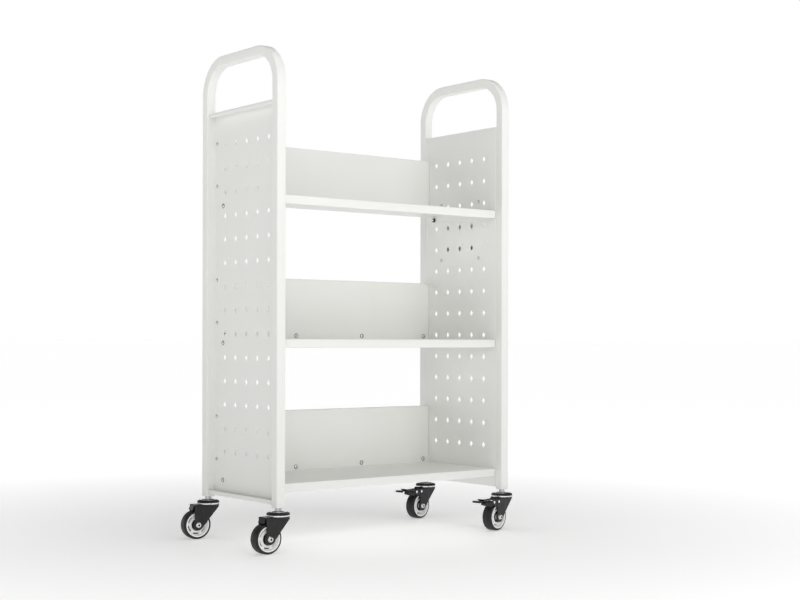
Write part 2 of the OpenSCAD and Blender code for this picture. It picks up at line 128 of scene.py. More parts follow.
def studio():
    """White all round the horizon, greyer overhead, and three large soft lights in front and above."""
    world = bpy.data.worlds.new("studio")
    scene.world = world
    world.use_nodes = True
    tree = world.node_tree
    back = tree.nodes["Background"]
    back.inputs["Color"].default_value = (1, 1, 1, 1)
    coords = tree.nodes.new("ShaderNodeTexCoord")
    split = tree.nodes.new("ShaderNodeSeparateXYZ")
    tree.links.new(coords.outputs["Generated"], split.inputs["Vector"])
    strength = map_range(tree, split.outputs["Z"], SKY_FADE, (1, SKY_HIGH), "SMOOTHSTEP")
    tree.links.new(strength, back.inputs["Strength"])
    scene.view_settings.view_transform = "Standard"
    middle = (cad_low + cad_high)/2
    for name, place, size, power in LIGHTS:
        area_light(name, place, middle, size, power)


def floor():
    """A plain pale floor that fades into the white of the horizon, its glow weaker near the cart as a
    painted soft shadow.
    """
    mesh = bpy.data.meshes.new("floor")
    form = bmesh.new()
    bmesh.ops.create_circle(form, cap_ends=True, segments=96, radius=FLOOR_R)
    form.to_mesh(mesh)
    form.free()
    ground = bpy.data.objects.new("floor", mesh)
    scene.collection.objects.link(ground)
    ground.location.z = cad_low.z
    mat = bpy.data.materials.new("floor")
    mat.use_nodes = True
    tree = mat.node_tree
    shader = tree.nodes["Principled BSDF"]
    shader.inputs["Base Color"].default_value = FLOOR_GREY
    shader.inputs["Roughness"].default_value = 0.6
    shader.inputs["Specular IOR Level"].default_value = 0.2
    shader.inputs["Emission Color"].default_value = (1, 1, 1, 1)
    coords = tree.nodes.new("ShaderNodeTexCoord")
    distance = tree.nodes.new("ShaderNodeVectorMath")
    distance.operation = "LENGTH"
    tree.links.new(coords.outputs["Object"], distance.inputs[0])
    # weaker glow near the cart: a painted soft shadow round the cart
    glow_and_painted_shadow = map_range(tree, distance.outputs["Value"], PAINTED_SHADOW_FADE, FLOOR_GLOW_AND_PAINTED_SHADOW)
    tree.links.new(glow_and_painted_shadow, shader.inputs["Emission Strength"])
    mesh.materials.append(mat)


# ---------- materials ----------

NOISE_SPAN = (0.3, 0.7)          # the middle of a noise field's values, which the finishes use


class Finish:
    """A Principled material and the few procedural nodes that give it its surface."""

    def __init__(self, name, colour, rough, metal=0.0, **sockets):
        self.mat = bpy.data.materials.new(name)
        self.mat.use_nodes = True
        self.tree = self.mat.node_tree
        self.shader = self.tree.nodes["Principled BSDF"]
        self.shader.inputs["Base Color"].default_value = (*colour, 1)
        self.shader.inputs["Roughness"].default_value = rough
        self.shader.inputs["Metallic"].default_value = metal
        for socket, value in sockets.items():
            self.shader.inputs[socket.replace("_", " ")].default_value = value
        self.coords = self.tree.nodes.new("ShaderNodeTexCoord").outputs["Object"]

    def node(self, kind, **settings):
        made = self.tree.nodes.new("ShaderNode" + kind)
        for key, value in settings.items():
            setattr(made, key, value)
        return made

    def noise(self, scale, detail=2.0, stretch=(1, 1, 1)):
        """A noise field in metres, stretched along the axes."""
        mapping = self.node("Mapping")
        mapping.inputs["Scale"].default_value = stretch
        made = self.node("TexNoise")
        made.inputs["Scale"].default_value = scale
        made.inputs["Detail"].default_value = detail
        self.tree.links.new(self.coords, mapping.inputs["Vector"])
        self.tree.links.new(mapping.outputs["Vector"], made.inputs["Vector"])
        return made.outputs["Fac"]

    def rough_from(self, value, low, high):
        rough = map_range(self.tree, value, NOISE_SPAN, (low, high))
        self.tree.links.new(rough, self.shader.inputs["Roughness"])

    def colour_from(self, value, first, second):
        mix = self.node("Mix", data_type="RGBA")
        ends = [socket for socket in mix.inputs if socket.type == "RGBA"]
        for socket, colour in zip(ends, (first, second)):
            socket.default_value = (*colour, 1)
        mixed = next(socket for socket in mix.outputs if socket.type == "RGBA")
        share = map_range(self.tree, value, NOISE_SPAN, (0, 1))
        self.tree.links.new(share, mix.inputs["Factor"])
        self.tree.links.new(mixed, self.shader.inputs["Base Color"])

    def bump(self, *layers):
        """layers are (height field, depth in metres); each is laid over the one before."""
        normal = None
        for height, depth in layers:
            made = self.node("Bump")
            made.inputs["Distance"].default_value = depth
            made.inputs["Strength"].default_value = 1
            self.tree.links.new(height, made.inputs["Height"])
            if normal:
                self.tree.links.new(normal, made.inputs["Normal"])
            normal = made.outputs["Normal"]
        self.tree.links.new(normal, self.shader.inputs["Normal"])


def ivory_paint():
    """Satin powder coat: a fine orange peel, and faint cloudiness over the large sheets."""
    f = Finish("ivory_paint", (0.90, 0.90, 0.875), 0.42, Coat_Weight=0.08, Coat_Roughness=0.25)
    f.colour_from(f.noise(3.0, 3), (0.890, 0.890, 0.862), (0.912, 0.912, 0.886))
    f.rough_from(f.noise(35, 3), 0.36, 0.47)
    f.bump((f.noise(420, 1), 0.00006), (f.noise(1500, 2), 0.00002))
    return f.mat


def zinc():
    """Zinc plate, a little uneven."""
    f = Finish("zinc", (0.46, 0.47, 0.48), 0.3, 1.0)
    f.colour_from(f.noise(160, 3), (0.40, 0.41, 0.42), (0.52, 0.53, 0.54))
    f.rough_from(f.noise(700, 3, (1, 1, 4)), 0.18, 0.34)
    f.bump((f.noise(2500, 2, (1, 1, 5)), 0.00001))
    return f.mat


def zinc_painted_shade():
    """Plated steel made dark to paint the shade on the bolts' collars and on the floors of their
    sockets.
    """
    f = Finish("zinc_painted_shade", (0.14, 0.14, 0.14), 0.4, 1.0)
    f.rough_from(f.noise(500, 3), 0.34, 0.46)
    f.bump((f.noise(1800, 2), 0.000008))
    return f.mat


def bright_zinc():
    """Polished plate on bolt heads, races and flanges."""
    f = Finish("bright_zinc", (0.86, 0.87, 0.88), 0.2, 1.0)
    f.rough_from(f.noise(500, 3), 0.14, 0.26)
    f.bump((f.noise(1800, 2), 0.000008))
    return f.mat


def black_nut():
    """Dark, oiled steel."""
    f = Finish("black_nut", (0.06, 0.04, 0.025), 0.35, 0.8)
    f.colour_from(f.noise(250, 3), (0.045, 0.03, 0.02), (0.10, 0.06, 0.03))
    f.rough_from(f.noise(600, 3), 0.28, 0.42)
    f.bump((f.noise(2000, 2), 0.00001))
    return f.mat


def black_plastic():
    """Moulded covers with a fine grain."""
    f = Finish("black_plastic", (0.012, 0.012, 0.013), 0.42, Specular_IOR_Level=0.25)
    f.rough_from(f.noise(300, 3), 0.32, 0.46)
    f.bump((f.noise(2600, 2), 0.000025))
    return f.mat


def black_steel():
    """Black powder coat over pressed steel."""
    f = Finish("black_steel", (0.012, 0.012, 0.013), 0.4, Specular_IOR_Level=0.35)
    f.colour_from(f.noise(90, 3), (0.010, 0.010, 0.011), (0.016, 0.016, 0.017))
    f.rough_from(f.noise(220, 3), 0.28, 0.40)
    f.bump((f.noise(700, 1), 0.00005), (f.noise(2400, 2), 0.000015))
    return f.mat


def black_gloss():
    """The same coat on the pedals, smoother and catching more light."""
    f = Finish("black_gloss", (0.013, 0.013, 0.014), 0.25, Specular_IOR_Level=0.5)
    f.rough_from(f.noise(260, 3), 0.20, 0.32)
    f.bump((f.noise(900, 2), 0.00002))
    return f.mat


def white_plastic():
    """The wheel centres."""
    f = Finish("white_plastic", (0.95, 0.95, 0.94), 0.3)
    f.colour_from(f.noise(120, 2), (0.935, 0.935, 0.925), (0.965, 0.965, 0.955))
    f.rough_from(f.noise(260, 3), 0.24, 0.36)
    f.bump((f.noise(1400, 2), 0.00001))
    return f.mat


def tread():
    """Moulded rubber, a little greyer where it has rolled."""
    f = Finish("tread", (0.014, 0.014, 0.015), 0.5, Specular_IOR_Level=0.35)
    f.colour_from(f.noise(140, 4), (0.010, 0.010, 0.011), (0.020, 0.020, 0.021))
    f.rough_from(f.noise(400, 4), 0.40, 0.58)
    f.bump((f.noise(900, 3), 0.00004), (f.noise(3200, 2), 0.00002))
    return f.mat


MAKERS = (ivory_paint, zinc, zinc_painted_shade, bright_zinc, black_nut, black_plastic, black_steel,
          black_gloss, white_plastic, tread)
finishes = {maker.__name__: maker() for maker in MAKERS}


def slot_of(node):
    """The material slot that the record gives a node."""
    return next(s["material_slot"] for s in record["subparts"] if s["node"] == node)


def dress(piece, finish):
    piece.data.materials.clear()
    piece.data.materials.append(finishes[finish])


# ---------- mesh helpers, in millimetres ----------

def box_mm(node):
    """A CAD node's lowest and highest corners in millimetres."""
    return tuple(corner/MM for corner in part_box(node))


def solids(node):
    """The boxes in millimetres of a node's separate solids, such as one for each bolt of a group."""
    form = bmesh.new()
    form.from_mesh(nodes[node].data)
    bmesh.ops.remove_doubles(form, verts=form.verts, dist=0.001*MM)
    left, boxes = set(form.verts), []
    while left:
        solid, to_visit = set(), [left.pop()]
        while to_visit:
            vert = to_visit.pop()
            solid.add(vert)
            near = {edge.other_vert(vert) for edge in vert.link_edges} & left
            left -= near
            to_visit += near
        boxes.append(tuple(Vector([pick(v.co[k] for v in solid)/MM for k in range(3)])
                           for pick in (min, max)))
    form.free()
    return sorted(boxes, key=lambda box: tuple(round(x) for x in box[0]))


def finish_piece(form, name, slot, body, replaced=(), place=SAME, smooth=30, look=None):
    """Turns a mesh in millimetres into a piece that rides on a body.

    Edges sharper than smooth degrees stay sharp. look names a finish other than the slot's own.
    """
    bmesh.ops.recalc_face_normals(form, faces=form.faces)
    form.transform(Matrix.Scale(MM, 4) @ place)
    mesh = bpy.data.meshes.new(name)
    form.to_mesh(mesh)
    form.free()
    for face in mesh.polygons:
        face.use_smooth = True
    mesh.set_sharp_from_angle(angle=math.radians(smooth))
    piece = bpy.data.objects.new(name, mesh)
    scene.collection.objects.link(piece)
    dress(piece, look or slot)
    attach(piece, body)
    if replaced:
        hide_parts(*replaced)
    return piece


def skin(form, rings, closed=True, loop=False):
    """Skins equal rings of points; closed joins a ring's ends, loop the last ring and the first."""
    made = [[form.verts.new(p) for p in ring] for ring in rings]
    count = len(made[0])
    for a, b in zip(made, made[1:] + (made[:1] if loop else [])):
        for i in range(count if closed else count - 1):
            j = (i + 1) % count
            form.faces.new((a[i], a[j], b[j], b[i]))
    return made


def circle(radius, height, segments):
    turn = 2*math.pi/segments
    return [(radius*math.cos(i*turn), radius*math.sin(i*turn), height) for i in range(segments)]


def hexagon(flats, height, segments=24, limit=math.inf):
    """A hexagon's outline as a ring of points, its corners cut back to the limit radius."""
    ring = []
    for i in range(segments):
        degrees = 360*i/segments
        angle = math.radians(degrees)
        radius = min(flats/2/math.cos(math.radians((degrees + 30) % 60 - 30)), limit)
        ring.append((radius*math.cos(angle), radius*math.sin(angle), height))
    return ring


FOLD_STEPS = 4


def rounded(points, radius, steps=FOLD_STEPS):
    """A polyline in a plane whose inner corners become arcs of one radius."""
    out = [Vector(points[0])]
    for before, corner, after in zip(points, points[1:], points[2:]):
        corner = Vector(corner)
        a = (Vector(before) - corner).normalized()
        b = (Vector(after) - corner).normalized()
        half = a.angle(b)/2
        centre = corner + (a + b).normalized()*(radius/math.sin(half))
        arms = [corner + arm*(radius/math.tan(half)) - centre for arm in (a, b)]
        first, last = (math.atan2(arm.y, arm.x) for arm in arms)
        turn = (last - first + math.pi) % (2*math.pi) - math.pi
        for i in range(steps + 1):
            angle = first + turn*i/steps
            out.append(centre + Vector((math.cos(angle), math.sin(angle)))*radius)
    return out + [Vector(points[-1])]


def strip(form, profile, stations, place):
    """A folded strip: the profile repeated at each station; place turns (u, v, station) to a point."""
    skin(form, [[place(*point, s) for point in profile] for s in stations], closed=False)


def bevel(piece, width, angle):
    """Rounds the edges that turn by more than the angle, by a width in millimetres."""
    made = piece.modifiers.new("edges", "BEVEL")
    made.width = width*MM
    made.segments = 2
    made.limit_method = "ANGLE"
    made.angle_limit = math.radians(angle)
    return made


def round_edges(piece, width, angle):
    """Welds the imported shading splits and rounds the sharp edges."""
    weld = piece.modifiers.new("weld", "WELD")
    weld.merge_threshold = 0.01*MM
    bevel(piece, width, angle).harden_normals = True


def sheet_piece(form, node):
    """Joins the strips of a sheet, which are its middle surface, and gives the piece its thickness."""
    bmesh.ops.remove_doubles(form, verts=form.verts, dist=0.02)
    piece = finish_piece(form, node + "_sheet", "ivory_paint", "cart", [node])
    solid = piece.modifiers.new("thickness", "SOLIDIFY")
    solid.thickness = SHEET*MM
    solid.offset = 0
    solid.use_even_offset = True
    bevel(piece, EDGE, 40)


# ---------- frames, panels, shelves ----------

SHEET = 1.2            # thickness of the panels, trays and back plates
FOLD = 1.6             # radius of a fold at the sheet's middle surface
REACH = 9              # how far past its fold a profile's last point lies, which only sets the turn
EDGE = 0.3             # rounding of the sheet's cut edges
TUBE_WALL = 1.5
TUBE_EDGE = 2.5        # outside rounding of the tube's corners
TUBE_DEPTH = 60        # how far up a post's end its inside is built
BEND = 96              # outside radius of the tube's bends
BEND_STEPS = 28
HOLE_PITCH = (51.8, 61.2)
HOLE_FIRST_ROW = 229
HOLE_GRID = (5, 14)
HOLE_SIZE = (12, 17)   # a diamond's width and height
DIAMOND = ((0, -1), (1, 0), (0, 1), (-1, 0))
PANEL_RETURN = 11.5    # the lip turned back from a panel's upper or lower flange
PANEL_SIDE = 14        # how far a panel's upright flanges reach outwards
TRAY_RETURN = 8        # the edge turned in under a tray's front lip
TRAY_END = 17          # how far a tray's end flanges reach below its surface
TRAY_UPTURN = 20       # how far its rear edge stands above it
PLATE_FOOT = 23        # the flat foot below a back plate's folded sides


def soft_square(side, radius, steps=5):
    """The outline of a square tube, as points in a plane."""
    ring = []
    for k in range(4):
        angle = math.radians(90*k)
        corner = Vector((side/2 - radius, side/2 - radius))
        corner.rotate(Matrix.Rotation(angle, 2))
        for i in range(steps + 1):
            turn = angle + math.pi/2*i/steps
            ring.append(corner + Vector((math.cos(turn), math.sin(turn)))*radius)
    return ring


def end_frame(node):
    """One bent tube, swept in small steps round its two bends and open at its lower ends."""
    low, high = box_mm(node)
    side = high.x - low.x
    centre_r = BEND - side/2
    post = high.y - side/2
    x = (low.x + high.x)/2
    path = [(post, low.z, 0), (post, high.z - BEND, 0)]
    for i in range(1, BEND_STEPS + 1):
        turn = math.pi/2*i/BEND_STEPS
        path.append((high.y - BEND + centre_r*math.cos(turn),
                     high.z - BEND + centre_r*math.sin(turn), turn))
    path += [(-y, z, math.pi - turn) for y, z, turn in reversed(path)]

    def ring(outline, y, z, turn):
        return [(x + p.x, y + p.y*math.cos(turn), z + p.y*math.sin(turn)) for p in outline]

    form = bmesh.new()
    outer = skin(form, [ring(soft_square(side, TUBE_EDGE), *p) for p in path])
    inner_outline = soft_square(side - 2*TUBE_WALL, TUBE_EDGE - TUBE_WALL)
    for (y, z, turn), mouth in ((path[0], outer[0]), (path[-1], outer[-1])):
        inner = skin(form, [ring(inner_outline, y, height, turn) for height in (z, z + TUBE_DEPTH)])
        count = len(mouth)
        for i in range(count):
            j = (i + 1) % count
            form.faces.new((mouth[i], mouth[j], inner[0][j], inner[0][i]))
        form.faces.new(inner[1])
    finish_piece(form, node + "_tube", "ivory_paint", "cart", [node])


def grid_lines(low, high, first, pitch, count):
    """The two edges, and the boundaries of the cells round each hole."""
    return [low] + [first + pitch*(i - 0.5) for i in range(count + 1)] + [high]


def side_panel(node, side):
    """A folded sheet with a grid of diamond-shaped holes; its flanges point outwards."""
    low, high = box_mm(node)
    inner = high.x if side < 0 else low.x
    depth = high.x - low.x
    half = SHEET/2
    ys = grid_lines(low.y + half + FOLD, high.y - half - FOLD, -HOLE_PITCH[0]*(HOLE_GRID[0] - 1)/2,
                    HOLE_PITCH[0], HOLE_GRID[0])
    zs = grid_lines(low.z + half + FOLD, high.z - half - FOLD, HOLE_FIRST_ROW,
                    HOLE_PITCH[1], HOLE_GRID[1])

    def at(out, y, z):
        return (inner + side*out, y, z)

    form = bmesh.new()
    for i, (y0, y1) in enumerate(zip(ys, ys[1:])):
        for j, (z0, z1) in enumerate(zip(zs, zs[1:])):
            corners = [form.verts.new(at(half, y, z))
                       for y, z in ((y0, z0), (y1, z0), (y1, z1), (y0, z1))]
            if not (0 < i <= HOLE_GRID[0] and 0 < j <= HOLE_GRID[1]):
                form.faces.new(corners)
                continue
            y, z = (y0 + y1)/2, (z0 + z1)/2
            tips = [form.verts.new(at(half, y + a*HOLE_SIZE[0]/2, z + b*HOLE_SIZE[1]/2))
                    for a, b in DIAMOND]
            for k in range(4):
                form.faces.new((corners[k], corners[(k + 1) % 4], tips[k]))
                form.faces.new((corners[k], tips[k], tips[k - 1]))
    for end, way in ((low.z, 1), (high.z, -1)):
        profile = rounded([(end + way*PANEL_RETURN, depth - half), (end + way*half, depth - half),
                           (end + way*half, half), (end + way*REACH, half)], FOLD)[:-1]
        strip(form, profile, ys, lambda z, out, y: at(out, y, z))
    for end, way in ((low.y, 1), (high.y, -1)):
        profile = rounded([(end + way*half, PANEL_SIDE), (end + way*half, half),
                           (end + way*REACH, half)], FOLD)[:-1]
        strip(form, profile, zs, lambda y, out, z: at(out, y, z))
    sheet_piece(form, node)


def along_x(y, z, x):
    return (x, y, z)


def along_y(x, z, y):
    return (x, y, z)


def along_z(x, y, z):
    return (x, y, z)


def shelf_tray(node):
    """Front lip with a turned-in edge, two end flanges, and the upturned edge behind."""
    low, high = box_mm(node)
    half = SHEET/2
    level = high.z - TRAY_UPTURN - half
    front, back = low.y + half, high.y - half
    ends = (low.x + half, high.x - half)
    inner_ends = (ends[0] + FOLD, ends[1] - FOLD)
    lip = rounded([(low.y + TRAY_RETURN, low.z + half), (front, low.z + half), (front, level),
                   (front + REACH, level)], FOLD)[:-1]
    rear = rounded([(back - REACH, level), (back, level), (back, high.z)], FOLD)[1:]
    form = bmesh.new()
    strip(form, lip + rear, inner_ends, along_x)
    for end, inner_end, way in zip(ends, inner_ends, (1, -1)):
        strip(form, lip[:-(FOLD_STEPS + 1)], (end, inner_end), along_x)
        flange = rounded([(end, level + half - TRAY_END), (end, level), (end + way*REACH, level)],
                         FOLD)[:-1]
        strip(form, flange, (front + FOLD, back - FOLD), along_y)
    sheet_piece(form, node)


def back_plate(node):
    """Upright plate, folded back at its top and sides, with a flat foot against the tray's edge."""
    low, high = box_mm(node)
    half = SHEET/2
    ends = (low.x + half, high.x - half)
    inner_ends = (ends[0] + FOLD, ends[1] - FOLD)
    face, top, foot = low.y + half, high.z - half, low.z + PLATE_FOOT
    form = bmesh.new()
    sheet = rounded([(high.y, top), (face, top), (face, foot)], FOLD) + [Vector((face, low.z))]
    strip(form, sheet, inner_ends, along_x)
    for end, inner_end, way in zip(ends, inner_ends, (1, -1)):
        fold = rounded([(end, high.y), (end, face), (end + way*REACH, face)], FOLD)[:-1]
        strip(form, fold, (foot, top - FOLD), along_z)
        strip(form, [(face, foot), (face, low.z)], (end, inner_end), along_x)
    sheet_piece(form, node)


# ---------- bolts, screws and nuts ----------

ROUND = 24             # points round a bolt or a nut
RIDGE = 1              # spacing of the ridges that stand for a thread
HEAD_SIDE = ((0.8, 0), (0.8, 0.36), (0.78, 0.5), (0.71, 0.74), (0.62, 0.9), (0.5, 1))
COLLAR_SIDE = ((1, 0), (1, 0.22), (0.95, 0.34))   # both in shares of a head's radius and height
SOCKET_FLOOR = 0.35    # the same share of the height
THICK_SHANK = 3
THIN_SHANK = 1.95


def turned(form, rings, place=SAME, loop=False):
    """Skins rings into a closed body and moves it to its place."""
    made = skin(form, rings, loop=loop)
    if not loop:
        form.faces.new(made[0])
        form.faces.new(made[-1])
    bmesh.ops.transform(form, matrix=place, verts=[v for ring in made for v in ring])


def lathe(form, profile, segments, place=SAME, loop=True):
    """Turns a profile of (radius, height) about Z. It joins up, or else its two ends are capped."""
    turned(form, [circle(r, h, segments) for r, h in profile], place, loop)


def bolt(form, shade, place, head_r, head_h, shank_r, length, flats):
    """A domed head with a hexagon socket on a collar, and a ridged shank below its seat; the collar and
    a disc on the socket's floor are painted shade in dark metal.
    """
    rings = [circle(shank_r*0.75, -length, ROUND), circle(shank_r, -length + 0.5, ROUND)]
    for i in range(int((length - 4)/RIDGE)):
        z = -length + 0.8 + i*RIDGE
        rings += [circle(shank_r*0.86, z + RIDGE*0.4, ROUND), circle(shank_r, z + RIDGE*0.8, ROUND)]
    rings.append(circle(shank_r, 0, ROUND))
    rings += [circle(head_r*r, head_h*h, ROUND) for r, h in HEAD_SIDE]
    rings += [hexagon(flats, head_h), hexagon(flats, head_h*SOCKET_FLOOR)]
    turned(form, rings, place)
    # a dark disc on the socket's floor: painted shade
    turned(shade, [hexagon(flats - 0.1, head_h*(SOCKET_FLOOR + h)) for h in (0.01, 0.1)], place)
    # a dark collar round the head's edge: painted shade
    collar = [(head_r*r, head_h*h) for r, h in COLLAR_SIDE]
    lathe(shade, [(shank_r, 0), *collar, (shank_r, collar[-1][1])], ROUND, place)


def nut(form, place, flats, height, bore, flange=0.0):
    """A hexagon nut with chamfered corners, on a flange if it has one."""
    rings = [circle(bore, 0, ROUND)]
    if flange:
        rings += [circle(flange, 0, ROUND), circle(flange, 0.8, ROUND),
                  circle(flange - 0.5, 1.2, ROUND), hexagon(flats, 1.2), hexagon(flats, 1.25)]
    else:
        rings += [hexagon(flats, 0, limit=flats*0.54), hexagon(flats, 0.5)]
    rings += [hexagon(flats, height - 0.7), hexagon(flats, height, limit=flats*0.52),
              circle(bore + 0.5, height, ROUND), circle(bore, height - 0.5, ROUND)]
    turned(form, rings, place, loop=True)


def facing(axis, way):
    """Turns +Z to +X or -X, or to +Y or -Y."""
    if axis == "X":
        return Matrix.Rotation(math.radians(90*way), 4, "Y")
    return Matrix.Rotation(math.radians(-90*way), 4, "X")


def each_solid(node, axis, way_of):
    """A place at each solid's inner end, with +Z towards its outer end, and its length and width."""
    k = "XY".index(axis)
    for low, high in solids(node):
        start = (low + high)/2
        way = way_of(start)
        start[k] = low[k] if way > 0 else high[k]
        yield Matrix.Translation(start) @ facing(axis, way), high[k] - low[k], high.z - low.z


def bolts(node, axis, head_h, flats, shank_r, way_of):
    """Replaces a group of bolts by their heads and shanks, and adds their collars and socket floors in
    dark metal as painted shade.
    """
    form, shade = bmesh.new(), bmesh.new()
    for place, length, width in each_solid(node, axis, way_of):
        under = length - head_h
        seat = place @ Matrix.Translation((0, 0, under))
        bolt(form, shade, seat, width/2, head_h, shank_r, under, flats)
    finish_piece(form, node + "_heads", "zinc", "cart", [node], look="bright_zinc")
    # the collars and socket floors are dark metal standing for painted shade
    finish_piece(shade, node + "_collar_and_socket_shade", "zinc", "cart", look="zinc_painted_shade")


def nuts(node, axis, flats, bore, way_of, slot, flange=0.0):
    """Replaces a group of nuts by one piece."""
    form = bmesh.new()
    for place, length, _ in each_solid(node, axis, way_of):
        nut(form, place, flats, length, bore, flange)
    finish_piece(form, node + "_hexes", slot, "cart", [node])


def outwards(middle):
    return 1 if middle.x > 0 else -1


def fasteners():
    bolts("tray_bolts", "X", 3.2, 4.4, THICK_SHANK, outwards)
    bolts("plate_bolts", "Y", 2.8, 4, THICK_SHANK, lambda middle: -1)
    bolts("plate_end_screws", "X", 2.4, 2.8, THIN_SHANK, outwards)
    bolts("pocket_screws", "X", 2.4, 2.8, THIN_SHANK, lambda middle: -1)
    nuts("tray_nuts", "X", 10, THICK_SHANK + 0.05, lambda middle: -outwards(middle), "black_nut", 6)
    nuts("plate_nuts", "Y", 10, THICK_SHANK + 0.05, lambda middle: 1, "zinc", 6)
    nuts("pocket_nuts", "X", 7, THIN_SHANK + 0.1, lambda middle: 1, "zinc")


# ---------- casters; heights are over the floor, and X runs from the axle to the stem ----------

FINE = 48              # points round the stem and the axle
FINER = 72             # points round the cover, the race, the head and the hub
FINEST = 96            # points round the tyre
RUN = 0.05             # clearance round a stem or an axle
STEM_R = 5
STEM_BORE = STEM_R + RUN
COVER_BORE = STEM_R + 2*RUN
HEAD_LOW = 87          # the fork's head plate
HEAD_TOP = 90
HEAD_R = 29
RACE_TOP = 93.7
COVER_LOW = 94
DISH = 98              # floor of the dish in the stem's flange
DISH_R = 20.5
COVER_TOP = 101
POST_END = 110         # a post's lower end
COLLAR_FLATS = 15      # the hexagon collar between the flange and the post
COLLAR_CUT = 7.8       # radius that its corners are cut back to

FORK_OUT = 19.5        # outside of a fork leg, from the caster's middle
FORK_IN = 17
LEG_FRONT = (22.5, HEAD_TOP - 7)    # where a leg's slanting front and back edges start
LEG_BACK = (-44.5, 52)
EAR_TOP = 85.5
EARS = ((-27, HEAD_TOP), (-30, EAR_TOP), (-66, EAR_TOP - 0.6), (-69, EAR_TOP - 2), (-72, 79),
        (-71, 76), (-67.5, 73.5), (-44.5, 64))   # (x, height) round a leg's ear, which holds the brake
RAISED = 1.1           # how far the arch over the axle stands out of a leg
ARCH_X = -33           # the arch's middle
ARCH_HALF = 13.4       # half its width
ARCH_FOOT = 73         # where its round top begins
ARCH_RISE = 9
SET_IN = 0.9           # how much further in a leg's front lies
HEAD_BEND = 3.5        # outside radius where a leg folds into the head
SKIRT_HALF = 13

AXLE_R = 4
BOSS_R = 13.5          # round end of a leg
SOCKET_FLATS = 6
RIM_R = 31.5
TYRE_HALF = 15
SHOULDER = 5.5


class Caster:
    """Places one caster: +X from the axle to the stem, the origin under the stem on the floor."""

    def __init__(self, corner):
        self.corner = corner
        stem, tyre = box_mm("stem_" + corner), box_mm("tyre_" + corner)
        arm = (stem[0] + stem[1] - tyre[0] - tyre[1])/2
        self.wheel_r = tyre[1].z/2
        self.trail = math.hypot(arm.x, arm.y)
        turn = Matrix.Rotation(math.atan2(arm.y, arm.x), 4, "Z")
        foot = ((stem[0].x + stem[1].x)/2, (stem[0].y + stem[1].y)/2, 0)
        self.place = Matrix.Translation(foot) @ turn
        self.axle = (self.place @ Matrix.Translation((-self.trail, 0, self.wheel_r))
                     @ Matrix.Rotation(math.radians(90), 4, "X"))
        long = {"f": "front", "b": "back", "l": "left", "r": "right"}
        tail = long[corner[0]] + "_" + long[corner[1]]
        self.fork_body = "fork_" + tail
        self.wheel_body = "wheel_" + tail
        self.pedal_body = "pedal_" + tail
        self.braked = "brake_pedal_" + corner in nodes

    def piece(self, form, name, slot, body, replaced=(), place=None, smooth=30, look=None):
        return finish_piece(form, f"{name}_{self.corner}_piece", slot, body, replaced,
                            place or self.place, smooth, look)


def stem(c):
    """Riveted foot and dished flange, then a hexagon collar and the shank inside the post."""
    flange, collar = bmesh.new(), bmesh.new()
    lathe(flange, ((6, HEAD_LOW - 3.4), (7.6, HEAD_LOW - 2.4), (8, HEAD_LOW - 0.3),
                   (STEM_R, HEAD_LOW - 0.3), (STEM_R, DISH), (DISH_R - 0.4, DISH), (DISH_R, DISH + 0.4),
                   (DISH_R, COVER_TOP - 0.5), (DISH_R - 0.6, COVER_TOP), (DISH_R - 2.2, COVER_TOP),
                   (DISH_R - 2.8, COVER_TOP - 0.5), (DISH_R - 3.6, DISH + 1.4), (9, DISH + 1.2)),
          FINE, loop=False)
    rings = [hexagon(COLLAR_FLATS, DISH + 1.3, FINE, COLLAR_CUT),
             hexagon(COLLAR_FLATS, DISH + 2.1, FINE),
             hexagon(COLLAR_FLATS, POST_END - 2.2, FINE),
             hexagon(COLLAR_FLATS, POST_END - 1.4, FINE, COLLAR_CUT)]
    rings += [circle(r, POST_END + h, FINE)
              for r, h in ((7, -1.3), (7, 1), (STEM_R, 1), (STEM_R, 25), (STEM_R - 1, 26))]
    turned(collar, rings)
    c.piece(flange, "stem", "zinc", "cart", ["stem_" + c.corner], look="bright_zinc")
    c.piece(collar, "stem_collar", "zinc", "cart")


def cover(c):
    """Black dust cover round the flange, and a black ring on the dish's floor that paints the shade in
    the dish.
    """
    form = bmesh.new()
    lathe(form, ((COVER_BORE, COVER_LOW), (HEAD_R - 0.4, COVER_LOW), (HEAD_R, COVER_LOW + 0.4),
                 (HEAD_R, COVER_LOW + 2.6), (HEAD_R - 0.3, COVER_LOW + 3.4),
                 (HEAD_R - 1.2, COVER_LOW + 4.3), (DISH_R + 2.2, COVER_TOP - 0.8),
                 (DISH_R + 1, COVER_TOP - 0.6), (DISH_R + 0.1, COVER_TOP - 0.8), (DISH_R + 0.1, DISH),
                 (COVER_BORE, DISH)), FINER)
    # a black ring on the dish's floor: painted shade in the recess
    lathe(form, ((8.8, DISH + 1.25), (DISH_R - 3.8, DISH + 1.42), (DISH_R - 3.7, DISH + 1.9),
                 (8.8, DISH + 1.9)), FINER)
    c.piece(form, "cover", "black_plastic", "cart", ["cover_" + c.corner])


def race(c):
    """Bright ring between the head and the cover, with a fine groove round it."""
    form = bmesh.new()
    rim = HEAD_R + 0.3
    lathe(form, ((STEM_BORE, HEAD_TOP), (rim - 0.5, HEAD_TOP), (rim - 0.1, HEAD_TOP + 0.3),
                 (rim, HEAD_TOP + 0.8), (rim, HEAD_TOP + 1.7), (rim - 0.25, HEAD_TOP + 1.9),
                 (rim, HEAD_TOP + 2.1), (rim, RACE_TOP - 0.6), (rim - 0.4, RACE_TOP),
                 (STEM_BORE, RACE_TOP)), FINER)
    c.piece(form, "race", "bright_zinc", c.fork_body, ["race_" + c.corner])


def ease(x, low, high):
    """Rises smoothly from 0 at low to 1 at high."""
    t = min(max((x - low)/(high - low), 0), 1)
    return t*t*(3 - 2*t)


